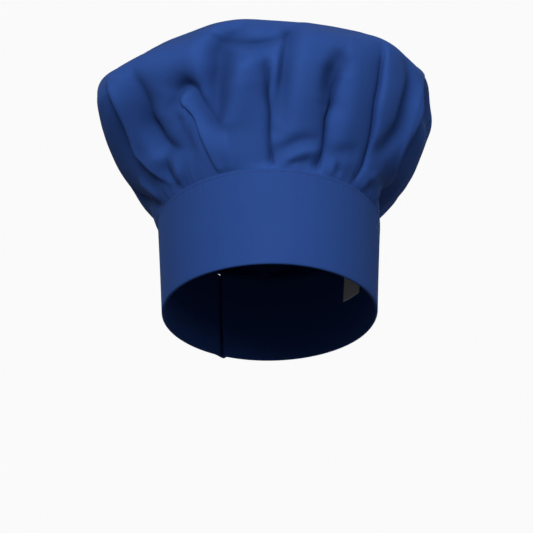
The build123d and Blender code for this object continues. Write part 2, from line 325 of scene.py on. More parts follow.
# folds, each from the band upwards: kind, width to its left and right, then degrees from the front,
# mm up from the seam, mm outwards. V is a sharp crease, G a round groove or ridge, S a fold that
# overlaps its neighbour and E one that only steps down to it.
FOLDS = [
    ("E", 13, 10, [(-49.1, 0.5, 0.8), (-57.8, 15.3, 2.5), (-61.0, 28.1, 5.0), (-64.0, 42.9, 8.0), (-61.3, 55.5, 9.5), (-58.4, 67.3, 10), (-55.9, 84.8, 9.5), (-55.9, 92.7, 5.0), (-61.9, 103.4, 2.0)]),   # left fold edge
    ("G", 1.6, 1.6, [(-57.0, 16.7, 0.6), (-60.1, 27.7, 0.9), (-63.2, 42.1, 1.0), (-61.0, 54.4, 1.0), (-58.1, 66.9, 1.0), (-54.2, 82.1, 1.0), (-55.6, 94.4, 0.6)]),   # its pressed rim
    ("V", 8, 9, [(-40.5, 27.7, -3), (-46.2, 34.5, -6), (-48.8, 44.0, -8.5), (-50.0, 57.4, -9.5), (-47.0, 73.0, -8.5), (-46.2, 85.2, -6.5), (-46.8, 94.8, -2.5)]),   # left crease
    ("G", 8, 8, [(-46.2, 30.2, -2), (-50.9, 40.1, -4.5), (-51.2, 52.7, -3)]),   # left crease, low
    ("G", 10, 10, [(-56.7, 30.0, 3.0), (-53.5, 32.1, 4.0), (-50.7, 32.8, 4.0), (-48.4, 29.4, 2.0)]),   # low left puff
    ("V", 4.5, 4.5, [(-49.1, 0.5, -2.5), (-51.9, 10.1, -4.5), (-52.3, 19.6, -4.5), (-49.5, 27.6, -1.5)]),   # low left crease
    ("G", 4.0, 4.5, [(-49.6, 5.6, 1.0), (-46.2, 13.8, 2.4), (-45.2, 22.6, 1.2)]),   # low left ridge
    ("V", 8.0, 8.5, [(-41.7, 54.7, -2.0), (-38.8, 60.0, -5.0), (-35.6, 66.2, -8.5), (-33.6, 70.8, -12), (-31.0, 72.4, -13.5), (-28.7, 69.1, -13), (-27.5, 60.0, -12.5), (-25.8, 49.8, -11.5), (-23.4, 39.4, -9), (-20.1, 33.6, -4)]),   # pocket
    ("S", 9, 13, [(-25.2, 2.2, 1.6), (-26.6, 15.5, 3.2), (-28.7, 31.9, 4.4), (-30.0, 47.7, 5.0), (-32.8, 57.9, 4.2), (-34.8, 63.6, 1.4)]),   # ridge in the pocket
    ("G", 7, 5, [(-34.8, 15.8, -1.0), (-36.0, 32.3, -2.5), (-36.6, 46.4, -2.5)]),   # left of the ridge
    ("G", 9.5, 15, [(-19.0, 35.3, -4.0), (-20.1, 47.2, -9.5), (-20.1, 62.6, -13.5), (-18.4, 82.1, -14.5), (-16.7, 97.8, -12), (-13.8, 105.6, -7.0)]),   # wide valley
    ("V", 5, 13, [(-14.9, 105.1, -4.0), (-7.7, 97.2, -7.5), (-0.9, 97.0, -7.5), (4.2, 100.9, -6.0), (8.2, 113.3, -3)]),   # swag under the top
    ("G", 7, 11, [(-23.0, 7.3, 0.8), (-20.1, 22.6, 2.0), (-16.2, 42.1, 3.5), (-12.8, 60.1, 4.0), (-9.4, 75.2, 3.5)]),   # broad ridge
    ("G", 12, 12, [(-7.8, 21.7, -0.8), (-7.7, 35.3, -1.4), (-8.6, 49.7, -0.8)]),   # panel hollow
    ("V", 9.5, 5.0, [(2.0, 0.5, -5.0), (2.1, 22.6, -9.0), (2.3, 40.4, -11.5), (1.5, 54.8, -12), (1.4, 65.9, -10), (-0.0, 76.1, -6.5), (-1.4, 83.3, -2.0)]),   # centre crease
    ("S", 13, 8, [(3.1, 2.2, 2.4), (2.1, 22.6, 5.2), (2.3, 40.4, 6.4), (1.5, 54.8, 6.2), (1.2, 64.2, 5.0), (-0.0, 74.5, 2.4)]),   # its overlap
    ("G", 3.5, 3.0, [(3.7, 33.8, 1.5), (3.4, 54.1, 3.0), (3.1, 71.0, 3.2), (2.6, 80.3, 1.5)]),   # its ridge
    ("G", 4.0, 8.0, [(4.0, 29.4, -2.0), (4.3, 42.2, -5.0), (4.8, 58.5, -7.5), (5.6, 77.9, -7.5), (6.5, 92.2, -6.0), (7.6, 107.7, -3.5)]),   # groove right of it
    ("G", 6, 6, [(4.7, 10.0, -3.5), (8.1, 15.0, -4.2), (13.3, 20.1, -3.6), (19.9, 24.0, -1.8)]),   # swag groove
    ("G", 5, 5, [(5.9, 5.7, 2.0), (9.9, 10.7, 2.8), (15.0, 15.0, 2.8), (21.3, 16.7, 2.0)]),   # swag crest
    ("V", 2.4, 2.8, [(8.2, 1.6, -1.2), (13.3, 5.1, -1.6), (18.5, 8.2, -1.2)]),   # swag pucker
    ("V", 8.5, 4.0, [(24.7, 1.4, -5.0), (27.8, 17.9, -8.5), (27.3, 31.1, -10), (26.8, 42.0, -12), (27.9, 53.1, -12.5), (27.4, 62.9, -11), (27.3, 72.7, -8.5), (27.5, 83.8, -4)]),   # second crease
    ("G", 8.5, 7.0, [(23.5, 55.6, -4.0), (23.3, 66.8, -7.0), (23.5, 78.6, -7.0), (25.2, 87.2, -4.5)]),   # second crease, wide top
    ("S", 14, 8, [(26.6, 4.2, 2.4), (27.8, 17.9, 4.6), (27.3, 31.1, 6.0), (26.8, 42.0, 6.8), (27.9, 53.1, 6.6), (27.4, 62.9, 5.6), (27.4, 74.3, 3.2)]),   # its overlap
    ("G", 6, 6, [(29.7, 13.2, -1.8), (33.2, 19.5, -2.2), (38.8, 23.9, -1.5)]),   # third panel swag
    ("G", 4.5, 4.5, [(30.3, 7.4, 1.0), (32.0, 11.6, 1.6)]),   # third panel blob
    ("V", 2.6, 2.6, [(35.8, 6.1, -2.2), (33.9, 10.9, -2.0), (32.5, 15.0, -0.8)]),   # third panel pucker
    ("S", 17, 8, [(47.3, 3.1, 2.0), (49.4, 15.0, 4.5), (48.7, 33.0, 6.5), (46.7, 48.3, 8.0), (44.2, 66.5, 9.0), (43.6, 80.3, 9.0), (42.7, 96.1, 7.5), (42.2, 108.8, 4.0)]),   # right fold
    ("V", 4.0, 2.4, [(47.9, 3.0, -2.5), (49.5, 15.1, -3.5), (46.6, 48.9, -3.5), (44.2, 66.5, -3.5), (43.6, 80.3, -3.5), (42.6, 97.5, -2)]),   # right fold crease
    ("G", 7.5, 7.5, [(50.6, 27.2, -1.5), (54.8, 42.1, -4.5), (57.2, 57.0, -7), (55.8, 76.4, -8.0), (55.1, 93.0, -6.5), (53.0, 104.1, -3)]),   # far right valley
    ("G", 5, 5, [(54.4, 4.8, 1.0), (54.7, 11.6, 2.0), (58.1, 18.4, 1.3)]),   # low right puff
    ("V", 3.0, 3.0, [(56.4, 2.2, -2.4), (55.9, 8.2, -2.2), (53.6, 11.6, -0.8)]),   # low right pucker
    ("E", 10, 13, [(68.5, 4.8, -1.5), (81.7, 26.6, -4.0), (68.5, 39.2, -7), (65.2, 61.2, -9), (64.1, 82.2, -9.5), (62.7, 95.5, -7), (69.7, 114.7, -3.0)]),   # right fold edge
    ("G", 1.6, 1.6, [(79.0, 23.5, 0.6), (66.8, 37.8, 0.9), (62.1, 58.4, 1.0), (60.0, 77.7, 1.0), (60.2, 93.8, 0.7)]),   # its pressed rim
    ("E", 5, 9, [(98.3, 31.8, -1.5), (91.3, 38.7, -3), (83.7, 53.4, -4.5), (76.9, 67.3, -4.5), (84.7, 95.3, -2.5)]),   # second right edge
    ("V", 5.0, 4.0, [(-68.9, 2.2, -2.5), (-80.3, 16.2, -4.5), (-90.4, 30.8, -4.5), (-92.3, 40.1, -2.5)]),   # lowest left crease
    ("G", 5.0, 5.0, [(-67.2, 5.6, 1.0), (-69.5, 15.0, 2.2), (-72.9, 25.1, 2.2)]),   # lowest left ridge
]


def swell(t, s):
    out = np.zeros_like(t)
    for i, row in enumerate(SWELL):
        if not row.any():
            continue
        wt = np.exp(-(np.degrees(wrap(t - math.radians(-180 + 15 * i))) / 13.0)**2)
        out += wt * (row[None, :] * np.exp(-((s[:, None] - SWELL_AT[None, :]) / 19.0)**2)).sum(1)
    return out * np.clip(s / 18, 0, 1) * np.clip((CROWN_L - s) / 40, 0, 1)


def vent_low(t):
    """Where the crown's cloth ends, in mm up from the seam: 0 where it is sewn in the band."""
    x = 85.8 * np.sin(t)
    back = np.cos(t) < 0
    arch = VENT_GAP + VENT_RISE * np.clip(1 - (x / VENT_X)**2, 0, 1)
    return np.where(back & (np.abs(x) < VENT_X), arch * 1.15, 0.0)


def smooth_line(pts, step=2.0):
    """A stroke's points, joined by a smooth line and spaced evenly. Columns: angle, mm up, depth."""
    p = np.array(pts, float)
    p[:, 0] = np.radians(p[:, 0])
    if len(p) < 2:
        return p
    q = np.stack([p[:, 0] * 105, p[:, 1]], -1)
    d = np.concatenate([[0], np.cumsum(np.linalg.norm(np.diff(q, axis=0), axis=1))])
    n = max(3, int(d[-1] / step))
    u = np.linspace(0, d[-1], n)
    return np.stack([hermite(u, d, p[:, c]) for c in range(3)], -1)


def stroke_frame(line, t, s, rho):
    """For each point: distance right of the line, its place along it, how far past the ends, and the line's direction there."""
    dt = wrap(line[None, :, 0] - t[:, None]) * rho[:, None]
    ds = line[None, :, 1] - s[:, None]
    ax, ay = dt[:, :-1], ds[:, :-1]
    bx, by = dt[:, 1:], ds[:, 1:]
    ex, ey = bx - ax, by - ay
    L2 = np.maximum(ex**2 + ey**2, 1e-9)
    u = np.clip(-(ax * ex + ay * ey) / L2, 0, 1)
    px, py = ax + u * ex, ay + u * ey
    dist = np.hypot(px, py)
    k = dist.argmin(1)
    i = np.arange(len(t))
    uu, pxk, pyk, exk, eyk = u[i, k], px[i, k], py[i, k], ex[i, k], ey[i, k]
    le = np.sqrt(L2[i, k])
    # the vector from the line to the point is -(px, py)
    side = (-pxk * eyk + pyk * exk) / le
    along = (-pxk * exk - pyk * eyk) / le
    sgn = np.where(side >= 0, 1.0, -1.0)
    return sgn * dist[i, k], k + uu, along, exk / le, eyk / le


def fold_field(t, s, strokes):
    """Displacement outwards and sideways (round, up) of the crown's cloth by its folds, in mm."""
    z = hermite(s, ARC, CROWN[:, 0])
    a = hermite(s, ARC, CROWN[:, 1])
    b = hermite(s, ARC, CROWN[:, 2])
    rho = np.hypot(a * np.cos(t), b * np.sin(t))
    out = np.zeros_like(t)
    shift = np.zeros(t.shape + (2,))
    for kind, wl, wr, pts in strokes:
        line = smooth_line(pts)
        reach = 4.2 * max(wl, wr) + 4
        lo_s, hi_s = line[:, 1].min() - reach, line[:, 1].max() + reach
        mid = math.atan2(np.sin(line[:, 0]).mean(), np.cos(line[:, 0]).mean())
        half = np.abs(wrap(line[:, 0] - mid)).max() + reach / 88.0
        m = (s > lo_s) & (s < hi_s) & (np.abs(wrap(t - mid)) < half)
        if not m.any():
            continue
        d, k, along, ex, ey = stroke_frame(line, t[m], s[m], rho[m])
        A = np.interp(k, np.arange(len(line)), line[:, 2])
        w = np.where(d >= 0, wr, wl)
        if kind == "V":
            e = 0.7
            f = A * np.exp(-(np.sqrt(d**2 + e * e) - e) / w)
        elif kind == "G":
            f = A * np.exp(-(d / w)**2)
        else:
            hi_side = np.where(A >= 0, 1.0, -1.0)
            x = d * hi_side
            fade = np.exp(-(np.clip(np.abs(along) - 0.5, 0, None) / 7.0)**2)
            up = 0.55 * np.exp(-np.clip(x, 0, None) / w)
            dn = -0.45 * np.exp(-np.clip(-x, 0, None) / w)
            g = 0.5 * (1 + np.tanh(x / (1.15 if kind == "S" else 1.9)))
            f = np.abs(A) * (dn + (up - dn) * g) * fade
            over = (0.75 if kind == "S" else 0.12) * np.abs(A) * g * np.exp(-(x / 5.0)**2) * fade
            shift[m, 0] += -hi_side * over * ey
            shift[m, 1] += hi_side * over * ex
        out[m] += f
    return out, shift


def all_strokes():
    front = [(k, l, r, p) for k, l, r, p in FOLDS]
    more = []
    r = np.random.default_rng(5)

    def copied(picks, centre, mirror, stretch, lift=0.0, size=1.0):
        for i in picks:
            k, wl, wr, pts = FOLDS[i]
            p = []
            for d, s, a in pts:
                q = centre + (-d if mirror else d) * stretch
                p.append((q, s * size + lift, -a if (k in "SE" and mirror) else a))
            more.append((k, wr if mirror else wl, wl if mirror else wr, p))

    mid = [i for i, f in enumerate(FOLDS) if -62 < np.mean([p[0] for p in f[3]]) < 60]
    copied(mid, 184.0, True, 1.02, 0.0, 1.06)
    one = [i for i, f in enumerate(FOLDS) if 15 < np.mean([p[0] for p in f[3]]) < 31 and f[0] != "S"]
    copied(one, 88.0, False, 0.9, 0.0, 0.9)
    copied(one, -92.0, True, 0.9, 4.0, 0.95)
    return front, more


# round the top: where the pleats run on over the shoulder, and the hollows in the middle
TOP_FOLDS = []
_rt = np.random.default_rng(21)
for _i, _a in enumerate([-165, -141, -118, -92, -67, -44, -21, 3, 27, 50, 73, 97, 122, 149, 172]):
    _j = _rt.uniform(-4, 4)
    _len = _rt.uniform(150, 205)
    _dep = _rt.uniform(1.6, 4.0)
    _w = _rt.uniform(7, 12)
    _bend = _rt.uniform(-9, 9)
    _s0 = 98 if abs(_a) > 95 else 150
    _len = max(_len, _s0 + 62)
    TOP_FOLDS.append(("G", _w, _w * 0.8, [(_a + _j + _bend * _k, _s0 + (_len - _s0) * _k, -_dep * _f)
                                          for _k, _f in ((0, 0.1), (0.25, 0.9), (0.5, 1.0), (0.8, 0.6), (1.0, 0.1))]))


def crown_points(t, s, s_low):
    """The crown's outer face at rest, in mm, and its outward direction before folding."""
    e = 1e-3
    def plain(t, s):
        p = crown_base(t, s)
        pu = crown_base(t + e, s) - crown_base(t - e, s)
        pv = crown_base(t, np.clip(s + 0.05, 0, CROWN_L)) - crown_base(t, np.clip(s - 0.05, 0, CROWN_L))
        n = unit(np.cross(pu, pv))
        bad = s > CROWN_L - 3
        n[bad] = (0, 0, 1)
        return p, n, unit(pu), unit(pv)
    p, n, tu, tv = plain(t, s)
    front, more = all_strokes()
    f0, sh0 = fold_field(t, s, front)
    f1, sh1 = fold_field(t, s, more)
    f2, sh2 = fold_field(t, s, TOP_FOLDS)
    above = s - s_low
    root = smooth01(above / 5.5)
    back_root = np.where(s_low > 0, smooth01(above / 26.0), 1.0)
    out = swell(t, s) + (f0 + f1 * back_root + f2) * root
    sh = (sh0 + sh1 * back_root[:, None]) * root[:, None]
    # the gathers, sewn small and even, opening into the folds
    u = arc_of(wrap(t))
    sewn = np.where(s_low > 0, 0.0, 1.0)
    g = GATHER_AT
    idx = np.clip(np.searchsorted(g, u) - 1, 0, len(g) - 2)
    ph = (u - g[idx]) / (g[idx + 1] - g[idx])
    amp = GATHER_SIZE[idx] * (1 - ph) + GATHER_SIZE[idx + 1] * ph
    saw = np.cos(2 * np.pi * (ph + 0.06 * np.sin(2 * np.pi * ph)))
    out += sewn * amp * saw * smooth01(above / 3.0) * np.exp(-above / 8.0)
    # the bulge of the gathered cloth over the band's top edge
    out += sewn * 0.5 * smooth01(above / 4.0) * np.exp(-above / 14.0)
    # middle of the top: sunken a little, with low soft waves
    c = np.clip((s - 120) / (CROWN_L - 120), 0, 1)
    x, y = p[:, 0], p[:, 1]
    out += c * (1.6 * np.sin(x / 23 + 0.6) * np.cos(y / 29 - 0.3) + 0.9 * np.sin((x + y) / 13 + 1.0)) - 3.5 * c**2
    return p + n * out[:, None] + tu * sh[:, :1] + tv * sh[:, 1:], n


_rg = np.random.default_rng(3)
_half = float(arc_of(math.pi))
GATHER_AT = [-_half]
while GATHER_AT[-1] < _half - 9:
    GATHER_AT.append(GATHER_AT[-1] + _rg.uniform(4.0, 11.0))
GATHER_AT[-1] = _half
GATHER_AT = np.array(GATHER_AT)
GATHER_SIZE = _rg.uniform(0.05, 0.55, len(GATHER_AT))
GATHER_SIZE[-1] = GATHER_SIZE[0]

COLS = 576
ROWS = 150
THICK = 0.7


def crown_levels():
    """Rows from the seam to the middle of the top, as 0 to 1, closer near the seam."""
    x = np.linspace(0, 1, ROWS)
    return x + 0.10 * x * (x - 1)


def make_crown():
    lev = crown_levels()
    counts = []
    for i, v in enumerate(lev):
        c = COLS
        left = (1 - v) * CROWN_L
        if left < 62: c = COLS // 2
        if left < 31: c = COLS // 4
        if left < 15: c = COLS // 8
        if left < 7.5: c = COLS // 16
        counts.append(c)
    counts[-1] = 1
    T, S, LOW, start = [], [], [], []
    at = 0
    for v, c in zip(lev, counts):
        # angles evenly spaced, from the middle of the back
        t = -math.pi + 2 * math.pi * (np.arange(c)) / c
        low = vent_low(t)
        start.append(at)
        T.append(t); S.append(low + (CROWN_L - low) * v); LOW.append(low)
        at += c
    T, S, LOW = map(np.concatenate, (T, S, LOW))
    P, N = crown_points(T, S, LOW)
    # the cloth's own stiffness rounds off anything finer than a couple of threads' bend
    full = [i for i, c in enumerate(counts) if c == COLS]
    m = len(full)
    G = P[:m * COLS].reshape(m, COLS, 3)
    for _ in range(1):
        mean = (np.roll(G, 1, 1) + np.roll(G, -1, 1)) / 2
        G = G * 0.6 + mean * 0.4
        mid = G.copy()
        mid[1:-1] = G[1:-1] * 0.6 + (G[2:] + G[:-2]) * 0.2
        G = mid
    G[0] = P[:COLS]
    G[-1] = P[(m - 1) * COLS:m * COLS]
    P[:m * COLS] = G.reshape(-1, 3)
    # painted shade: how far each point lies below its smoothed surroundings, used to darken the colour in the folds and
    # lighten it on the ridges
    PAINTED_SHADE = np.zeros(len(P))
    full = [i for i, c in enumerate(counts) if c == COLS]
    m = len(full)
    B = crown_base(T, S)
    H = ((P - B) * N).sum(-1)[:m * COLS].reshape(m, COLS)
    soft = H.copy()
    for _ in range(34):
        soft = (soft + np.roll(soft, 1, 1) + np.roll(soft, -1, 1)) / 3
        up, dn = np.vstack([soft[1:], soft[-1:]]), np.vstack([soft[:1], soft[:-1]])
        soft = (soft + up + dn) / 3
    PAINTED_SHADE[:m * COLS] = np.clip((soft - H) / 5.0, -0.6, 1.2).ravel() * np.repeat(smooth01((m - 1 - np.arange(m)) / 12.0), COLS)
    F = []
    for i in range(len(counts) - 1):
        a, b, ca, cb = start[i], start[i + 1], counts[i], counts[i + 1]
        if cb == 1:
            for c in range(ca):
                F.append((a + c, a + (c + 1) % ca, b))
        elif ca == cb:
            for c in range(ca):
                d = (c + 1) % ca
                F.append((a + c, a + d, b + d, b + c))
        else:
            for c in range(cb):
                c0, c1, c2 = 2 * c, 2 * c + 1, (2 * c + 2) % ca
                F.append((a + c0, a + c1, b + c))
                F.append((a + c1, b + (c + 1) % cb, b + c))
                F.append((a + c1, a + c2, b + (c + 1) % cb))
    # the seam allowance, down between the band's plies
    t0 = T[:COLS]
    sewn = LOW[:COLS] == 0
    neck = []
    allow = (1.6, 4.0, 7.5)
    at0 = len(P)
    for k, dz in enumerate(allow):
        neck.append(on_band(t0, np.full(COLS, BAND_H - dz), -1.05 + 0.3))
    P = np.concatenate([P] + neck)
    # painted shade: the seam allowance between the plies gets the fullest darkening
    PAINTED_SHADE = np.concatenate([PAINTED_SHADE, np.ones(3 * COLS)])
    T = np.concatenate([T] + [t0] * 3)
    S = np.concatenate([S] + [np.full(COLS, -dz) for dz in allow])
    rows = [np.arange(COLS)] + [at0 + k * COLS + np.arange(COLS) for k in range(3)]
    for k in range(3):
        for c in range(COLS):
            d = (c + 1) % COLS
            if sewn[c] and sewn[d]:
                F.append((rows[k + 1][c], rows[k + 1][d], rows[k][d], rows[k][c]))
    # only keep what the faces use
    used = np.zeros(len(P), bool)
    for f in F:
        used[list(f)] = True
    remap = np.cumsum(used) - 1
    F = [tuple(remap[list(f)]) for f in F]
    return P[used], T[used], S[used], PAINTED_SHADE[used], F


def vertex_normals(P, F):
    N = np.zeros_like(P)
    tri = np.array([(f[0], f[1], f[2]) for f in F] + [(f[0], f[2], f[3]) for f in F if len(f) == 4])
    n = np.cross(P[tri[:, 1]] - P[tri[:, 0]], P[tri[:, 2]] - P[tri[:, 0]])
    for k in range(3):
        np.add.at(N, tri[:, k], n)
    return unit(N)


def thicken(P, F, UV, thick):
    """A closed cloth from its outer face, with its edges joined."""
    N = vertex_normals(P, F)
    Q = P - N * thick
    k = len(P)
    G = list(F) + [tuple(i + k for i in f[::-1]) for f in F]
    edges = {}
    for f in F:
        for a, b in zip(f, f[1:] + f[:1]):
            edges[(a, b)] = True
    for (a, b) in edges:
        if (b, a) not in edges:
            G.append((b, a, a + k, b + k))
    return np.concatenate([P, Q]), G, np.concatenate([UV, UV])


def crown_uv(T, S):
    r = CROWN_L - S
    return np.stack([r * np.sin(T), -r * np.cos(T)], -1)


# ================================================================== materials
def cloth_material(name, base, light, rough=0.68, sheen=0.09, sheen_tint=(0.22, 0.42, 1.0), weave=0.62, weave_bump=0.30,
                   cross=False, spec=0.21, spec_tint=(0.16, 0.36, 1.0), wear=0.04):
    """A dyed cloth: twill ridges, uneven dye and threads, soft wear, and painted shade that darkens the folds and
    lightens the ridges.
    Everything is worked out from the cloth's own flat coordinates and the object's own space."""
    m = bpy.data.materials.new(name)
    m.use_nodes = True
    nt = m.node_tree
    N, L = nt.nodes, nt.links
    bsdf = N["Principled BSDF"]
    bsdf.inputs["Roughness"].default_value = rough
    bsdf.inputs["Sheen Weight"].default_value = sheen
    bsdf.inputs["Sheen Roughness"].default_value = 0.45
    bsdf.inputs["Sheen Tint"].default_value = (*sheen_tint, 1)
    bsdf.inputs["Specular IOR Level"].default_value = spec
    bsdf.inputs["Specular Tint"].default_value = (*spec_tint, 1)

    def node(kind, **kw):
        n = N.new(kind)
        for k, v in kw.items():
            setattr(n, k, v)
        return n

    uv = node("ShaderNodeUVMap")
    uv.uv_map = "UVMap"
    co = node("ShaderNodeTexCoord")

    def wave(scale_mm, angle, profile="SIN", distort=0.0):
        mp = node("ShaderNodeMapping")
        mp.inputs["Rotation"].default_value = (0, 0, math.radians(angle))
        L.new(uv.outputs["UV"], mp.inputs["Vector"])
        w = node("ShaderNodeTexWave", wave_type="BANDS", bands_direction="X", wave_profile=profile)
        # one UV unit is 100 mm; the wave's own period is 2 pi / 20 of a unit at scale 1
        w.inputs["Scale"].default_value = 100.0 / scale_mm * (2 * math.pi / 20)
        w.inputs["Distortion"].default_value = distort
        w.inputs["Detail"].default_value = 0
        L.new(mp.outputs["Vector"], w.inputs["Vector"])
        return w.outputs["Fac"]

    twill = wave(weave, 27 if not cross else 0)
    threads = wave(weave * 0.62, -63 if not cross else 90)

    def math2(op, a, b):
        n = node("ShaderNodeMath", operation=op)
        for i, v in enumerate((a, b)):
            if isinstance(v, (int, float)):
                n.inputs[i].default_value = v
            else:
                L.new(v, n.inputs[i])
        return n.outputs[0]

    weave_h = math2("ADD", math2("MULTIPLY", twill, 0.75), math2("MULTIPLY", threads, 0.25))

    def noise(scale, detail, vec, rough_=0.55):
        n = node("ShaderNodeTexNoise")
        n.inputs["Scale"].default_value = scale
        n.inputs["Detail"].default_value = detail
        n.inputs["Roughness"].default_value = rough_
        L.new(vec, n.inputs["Vector"])
        return n.outputs["Fac"]

    slubs_map = node("ShaderNodeMapping")
    slubs_map.inputs["Scale"].default_value = (1.0, 9.0, 1.0)
    L.new(uv.outputs["UV"], slubs_map.inputs["Vector"])
    slubs = noise(28.0, 3.0, slubs_map.outputs["Vector"])
    warps_map = node("ShaderNodeMapping")
    warps_map.inputs["Scale"].default_value = (9.0, 1.0, 1.0)
    L.new(uv.outputs["UV"], warps_map.inputs["Vector"])
    warps = noise(24.0, 3.0, warps_map.outputs["Vector"])
    patch = noise(16.0, 4.0, co.outputs["Object"])
    grain = noise(900.0, 2.0, co.outputs["Object"])

    mix = node("ShaderNodeMix", data_type="RGBA")
    mix.inputs["A"].default_value = (*base, 1)
    mix.inputs["B"].default_value = (*light, 1)
    ramp = node("ShaderNodeMapRange")
    ramp.inputs["From Min"].default_value = 0.36
    ramp.inputs["From Max"].default_value = 0.66
    ramp.inputs["To Min"].default_value = 0.0
    ramp.inputs["To Max"].default_value = 1.0
    blend = math2("ADD", math2("MULTIPLY", patch, 0.25), math2("ADD", math2("MULTIPLY", math2("ADD", math2("MULTIPLY", slubs, 0.5), math2("MULTIPLY", warps, 0.5)), 0.53), math2("MULTIPLY", twill, 0.22)))
    L.new(blend, ramp.inputs["Value"])
    L.new(ramp.outputs["Result"], mix.inputs["Factor"])
    # fibre ends, a touch paler, as wear
    worn = node("ShaderNodeMix", data_type="RGBA")
    L.new(mix.outputs["Result"], worn.inputs["A"])
    worn.inputs["B"].default_value = (*[min(1, c * 1.9 + 0.02) for c in light], 1)
    wr = node("ShaderNodeMapRange")
    wr.inputs["From Min"].default_value = 0.60
    wr.inputs["From Max"].default_value = 0.74
    wr.inputs["To Max"].default_value = wear
    L.new(grain, wr.inputs["Value"])
    L.new(wr.outputs["Result"], worn.inputs["Factor"])
    # painted shade: the colour is darkened down in the folds and made paler on the ridges, by how far the cloth lies
    # below or above its smoothed surroundings
    att = node("ShaderNodeAttribute", attribute_name="painted_fold_shade")
    shade_ramp = node("ShaderNodeMapRange")
    shade_ramp.inputs["From Min"].default_value = -0.6
    shade_ramp.inputs["From Max"].default_value = 1.2
    shade_ramp.inputs["To Min"].default_value = 1.16
    shade_ramp.inputs["To Max"].default_value = 0.50
    L.new(att.outputs["Fac"], shade_ramp.inputs["Value"])
    shaded_colour = node("ShaderNodeVectorMath", operation="SCALE")
    L.new(worn.outputs["Result"], shaded_colour.inputs[0])
    L.new(shade_ramp.outputs["Result"], shaded_colour.inputs["Scale"])
    L.new(shaded_colour.outputs[0], bsdf.inputs["Base Color"])

    bump = node("ShaderNodeBump")
    bump.inputs["Strength"].default_value = weave_bump
    bump.inputs["Distance"].default_value = 0.00012
    L.new(weave_h, bump.inputs["Height"])
    soft = node("ShaderNodeBump")
    soft.inputs["Strength"].default_value = 0.25
    soft.inputs["Distance"].default_value = 0.0006
    L.new(noise(120.0, 3.0, co.outputs["Object"]), soft.inputs["Height"])
    L.new(bump.outputs["Normal"], soft.inputs["Normal"])
    L.new(soft.outputs["Normal"], bsdf.inputs["Normal"])
    return m


def plain_material(name, base, rough, noise_scale, spread=0.12, bump=0.1, distance=0.0002, sheen=0.0, metallic=0.0, sheen_tint=(0.25, 0.4, 1.0)):
    m = bpy.data.materials.new(name)
    m.use_nodes = True
    N, L = m.node_tree.nodes, m.node_tree.links
    bsdf = N["Principled BSDF"]
    bsdf.inputs["Roughness"].default_value = rough
    bsdf.inputs["Sheen Weight"].default_value = sheen
    bsdf.inputs["Metallic"].default_value = metallic
    co = N.new("ShaderNodeTexCoord")
    nz = N.new("ShaderNodeTexNoise")
    nz.inputs["Scale"].default_value = noise_scale
    nz.inputs["Detail"].default_value = 4
    L.new(co.outputs["Object"], nz.inputs["Vector"])
    mix = N.new("ShaderNodeMix")
    mix.data_type = "RGBA"
    mix.inputs["A"].default_value = (*[c * (1 - spread) for c in base], 1)
    mix.inputs["B"].default_value = (*[min(1, c * (1 + spread)) for c in base], 1)
    L.new(nz.outputs["Fac"], mix.inputs["Factor"])
    L.new(mix.outputs["Result"], bsdf.inputs["Base Color"])
    bp = N.new("ShaderNodeBump")
    bp.inputs["Strength"].default_value = bump
    bp.inputs["Distance"].default_value = distance
    L.new(nz.outputs["Fac"], bp.inputs["Height"])
    L.new(bp.outputs["Normal"], bsdf.inputs["Normal"])
    return m


TWILL = cloth_material("blue_twill", (0.0180, 0.0530, 0.213), (0.0246, 0.0665, 0.252))
LINING = cloth_material("blue_twill_inside", (0.0135, 0.045, 0.195), (0.018, 0.055, 0.225), rough=0.6)
THREAD = plain_material("blue_thread", (0.0075, 0.026, 0.118), 0.6, 1400.0, 0.2, 0.4, 0.0001, sheen=0.05)
FELT = plain_material("stiffener_felt", (0.70, 0.71, 0.72), 0.85, 700.0, 0.1, 0.5, 0.0002)
HOOKS = plain_material("hook_nylon", (0.012, 0.028, 0.10), 0.38, 900.0, 0.2, 0.3, 0.0002)
LOOPS = plain_material("loop_nylon", (0.013, 0.035, 0.135), 0.8, 1300.0, 0.35, 0.8, 0.0004, sheen=0.14)
SATIN = cloth_material("white_satin", (0.76, 0.76, 0.74), (0.84, 0.84, 0.82), rough=0.35, sheen=0.1, sheen_tint=(1, 1, 1), spec_tint=(1, 1, 1),
                       weave=0.35, cross=True, weave_bump=0.08, wear=0.0)


def dress(ob, material, body, slot, *nodes):
    ob.data.materials.append(material)
    if body:
        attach(ob, body)
    if nodes:
        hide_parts(*nodes)
    return ob


# ================================================================== the crown
P, T, S, PAINTED_SHADE, F = make_crown()
CP, CF, CUV = thicken(P, F, crown_uv(T, S), THICK)
# the crown carries painted shade in its folds, on both faces
crown = new_mesh("crown", CP, CF, CUV, depth=np.concatenate([PAINTED_SHADE, PAINTED_SHADE]))
dress(crown, TWILL, "hat", "twill", "crown_panel")

# ================================================================== the band
ring_t = np.linspace(T_SEAM, T_RIGHT, 520)
band = folded_strip("headband", ring_t, 0 * ring_t, BAND_H + 0 * ring_t, jog(ring_t), band_face)
dress(band, TWILL, "hat", "twill", "band_outer", "band_lining")


